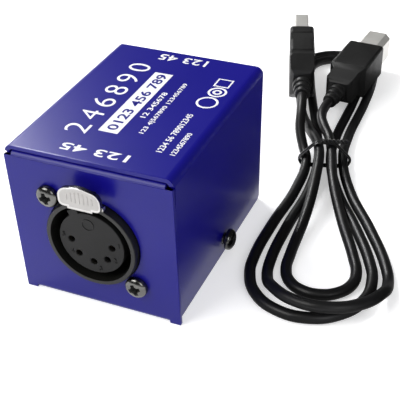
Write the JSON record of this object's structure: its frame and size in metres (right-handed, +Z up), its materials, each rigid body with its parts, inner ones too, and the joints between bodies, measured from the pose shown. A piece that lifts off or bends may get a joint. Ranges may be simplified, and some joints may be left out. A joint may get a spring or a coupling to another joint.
{
  "type": "usb dmx interface",
  "caption": "Small blue folded-sheet box that links a computer to stage lighting: round locking socket in front, square computer socket behind, and a tied black lead.",
  "frame": {"origin": "middle of the tray's underside, where the box stands", "axes": "+Z up; the front panel with the round socket faces -Y; +X is to the right seen from the front"},
  "size_m": [0.0832, 0.1449, 0.039],
  "materials": {
    "blue_paint": "deep blue powder coat, fine orange peel",
    "black_plastic": "moulded black, slightly satin",
    "insert_plastic": "moulded dark grey",
    "contact_gold": "gold flash",
    "satin_nickel": "satin nickel on a die casting",
    "spring_steel": "drawn wire",
    "black_nickel": "black nickel plate",
    "board_laminate": "green solder mask on glass laminate",
    "plug_steel": "nickel plated pressed steel",
    "white_plastic": "moulded off-white",
    "chip_black": "moulded epoxy",
    "can_aluminium": "drawn can, satin",
    "fuse_body": "green lacquer",
    "cord_rubber": "black cable jacket, semi gloss",
    "plug_rubber": "black moulded grip, satin",
    "tie_plastic": "black wire tie"
  },
  "bodies": {
    "box": {"base_tray": "blue_paint", "top_cover": "blue_paint", "xlr_housing": "black_plastic", "xlr_insert": "insert_plastic", "xlr_contact_1": "contact_gold", "xlr_contact_2": "contact_gold", "xlr_contact_3": "contact_gold", "xlr_contact_4": "contact_gold", "xlr_contact_5": "contact_gold", "latch_spring": "spring_steel", "xlr_screw_upper": "black_nickel", "xlr_screw_lower": "black_nickel", "cover_screw_right": "black_nickel", "cover_screw_left": "black_nickel", "circuit_board": "board_laminate", "usb_socket_shell": "plug_steel", "usb_socket_housing": "white_plastic", "usb_socket_contact_1": "contact_gold", "usb_socket_contact_2": "contact_gold", "usb_socket_contact_3": "contact_gold", "usb_socket_contact_4": "contact_gold", "bridge_chip": "chip_black", "line_driver_chip": "chip_black", "crystal_can": "can_aluminium", "supply_capacitor": "can_aluminium", "input_capacitor": "can_aluminium", "fuse": "fuse_body", "cable_hank": "cord_rubber", "cable_tie": "tie_plastic", "flat_plug_body": "plug_rubber", "flat_plug_shell": "plug_steel", "flat_plug_insert": "white_plastic", "flat_plug_contact_1": "contact_gold", "flat_plug_contact_2": "contact_gold", "flat_plug_contact_3": "contact_gold", "flat_plug_contact_4": "contact_gold", "square_plug_body": "plug_rubber", "square_plug_shell": "plug_steel", "square_plug_insert": "white_plastic"},
    "latch": {"push_latch": "satin_nickel"}
  },
  "joints": [
    {"name": "latch_press", "type": "slide", "parent": "box", "child": "latch", "axis": [0, 0.9063, 0.4226], "range_m": [0, 0.002], "stiffness_N_per_m": 400, "springref_m": -0.002, "deforming": ["latch_spring"]}
  ]
}
